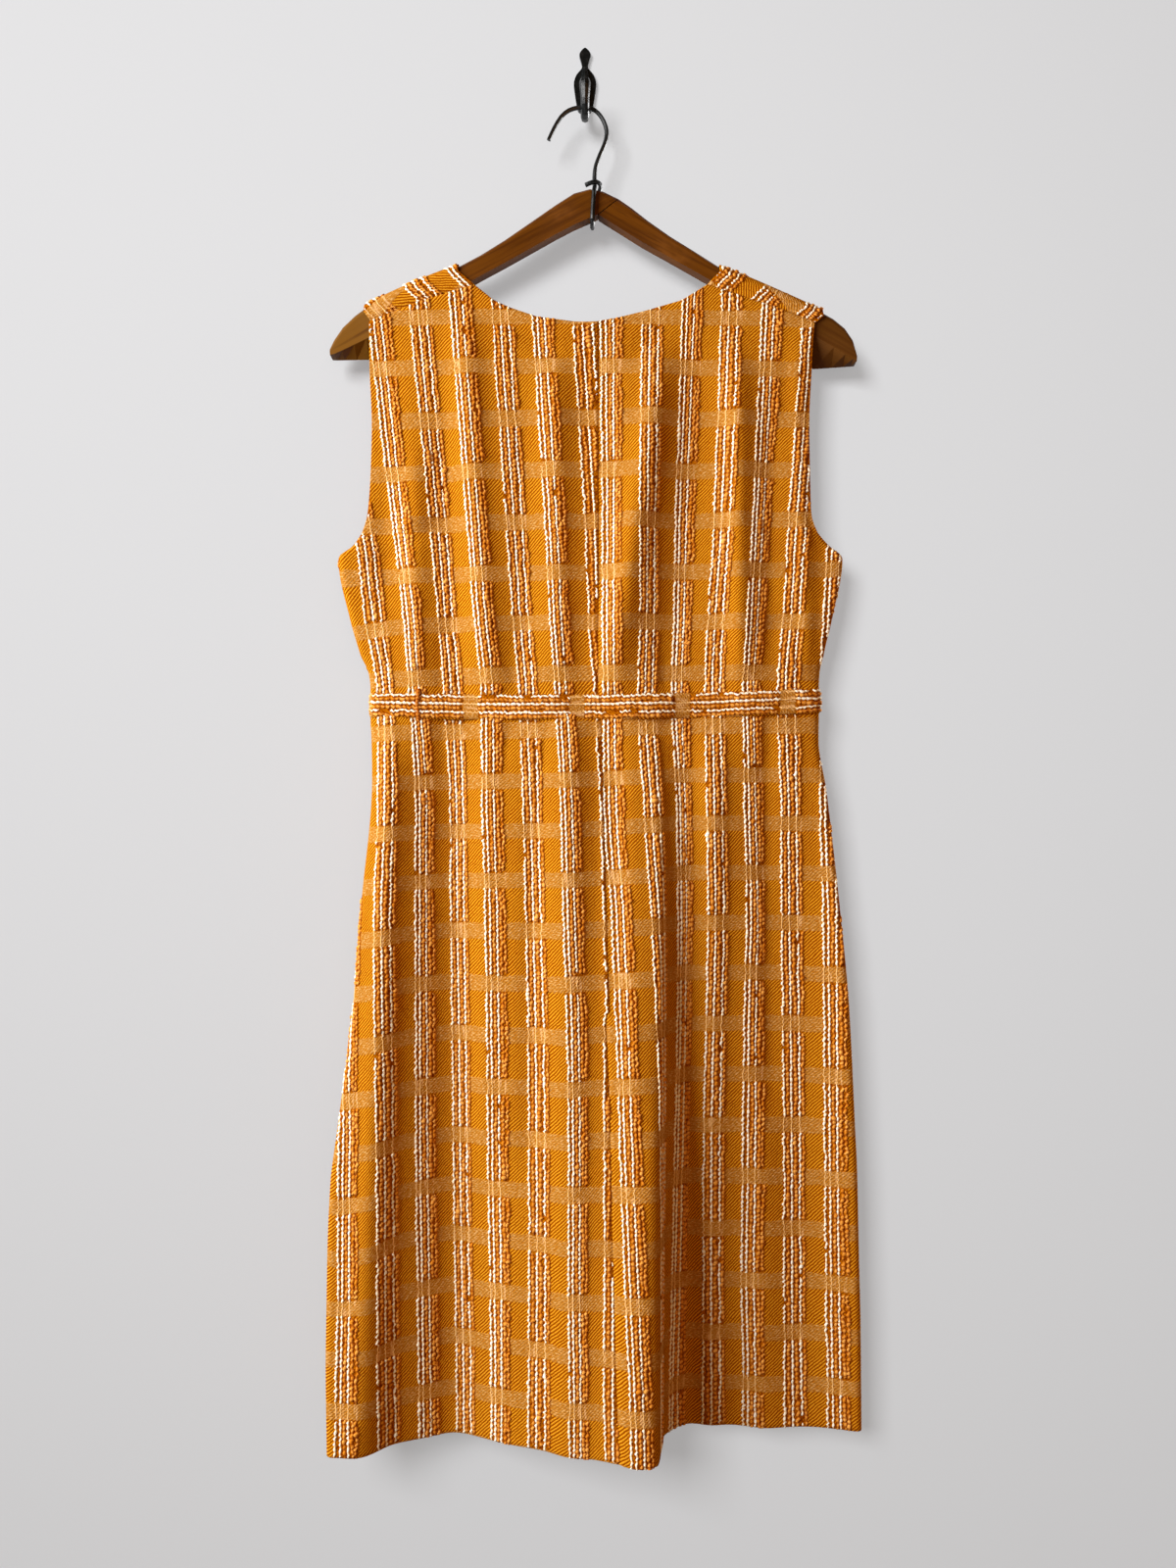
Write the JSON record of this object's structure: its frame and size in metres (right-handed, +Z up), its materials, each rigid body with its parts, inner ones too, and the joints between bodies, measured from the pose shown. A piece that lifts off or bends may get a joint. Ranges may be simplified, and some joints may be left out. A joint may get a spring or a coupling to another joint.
{
  "type": "sleeveless shift dress on a wooden hanger with a cast wall hook",
  "caption": "Knee-length sleeveless shift dress with a narrow fabric belt and a back zip, hung on a curved wooden hanger from a cast wall hook, its front to the wall.",
  "frame": {"origin": "centre of the wall hook's flat back, on the wall, where the hook is fixed", "axes": "+Z up along the dress, +Y into the wall, so the dress and hanger stand out of the wall towards -Y and the back of the dress faces -Y; +X to the right seen by someone facing the wall"},
  "size_m": [0.4373, 0.0917, 1.1519],
  "materials": {
    "plaid_boucle_cotton": "matt loosely spun cotton, orange twill ground with white and orange cords and pale cross bands",
    "belt_boucle_cotton": "the same cloth, cords running round the belt",
    "walnut_stained_beech": "worn satin varnish over a dark brown stain",
    "black_steel_wire": "black, half gloss",
    "black_cast_iron": "black lacquer, half gloss",
    "zip_tape": "matt woven tape",
    "zip_metal": "plain metal"
  },
  "bodies": {
    "root": {"back_left": "plaid_boucle_cotton", "back_right": "plaid_boucle_cotton", "front": "plaid_boucle_cotton", "belt": "belt_boucle_cotton", "zip_tape": "zip_tape", "zip_slider": "zip_metal", "hanger_arm_left": "walnut_stained_beech", "hanger_arm_right": "walnut_stained_beech", "hanger_wire": "black_steel_wire", "wall_hook": "black_cast_iron"}
  },
  "joints": []
}
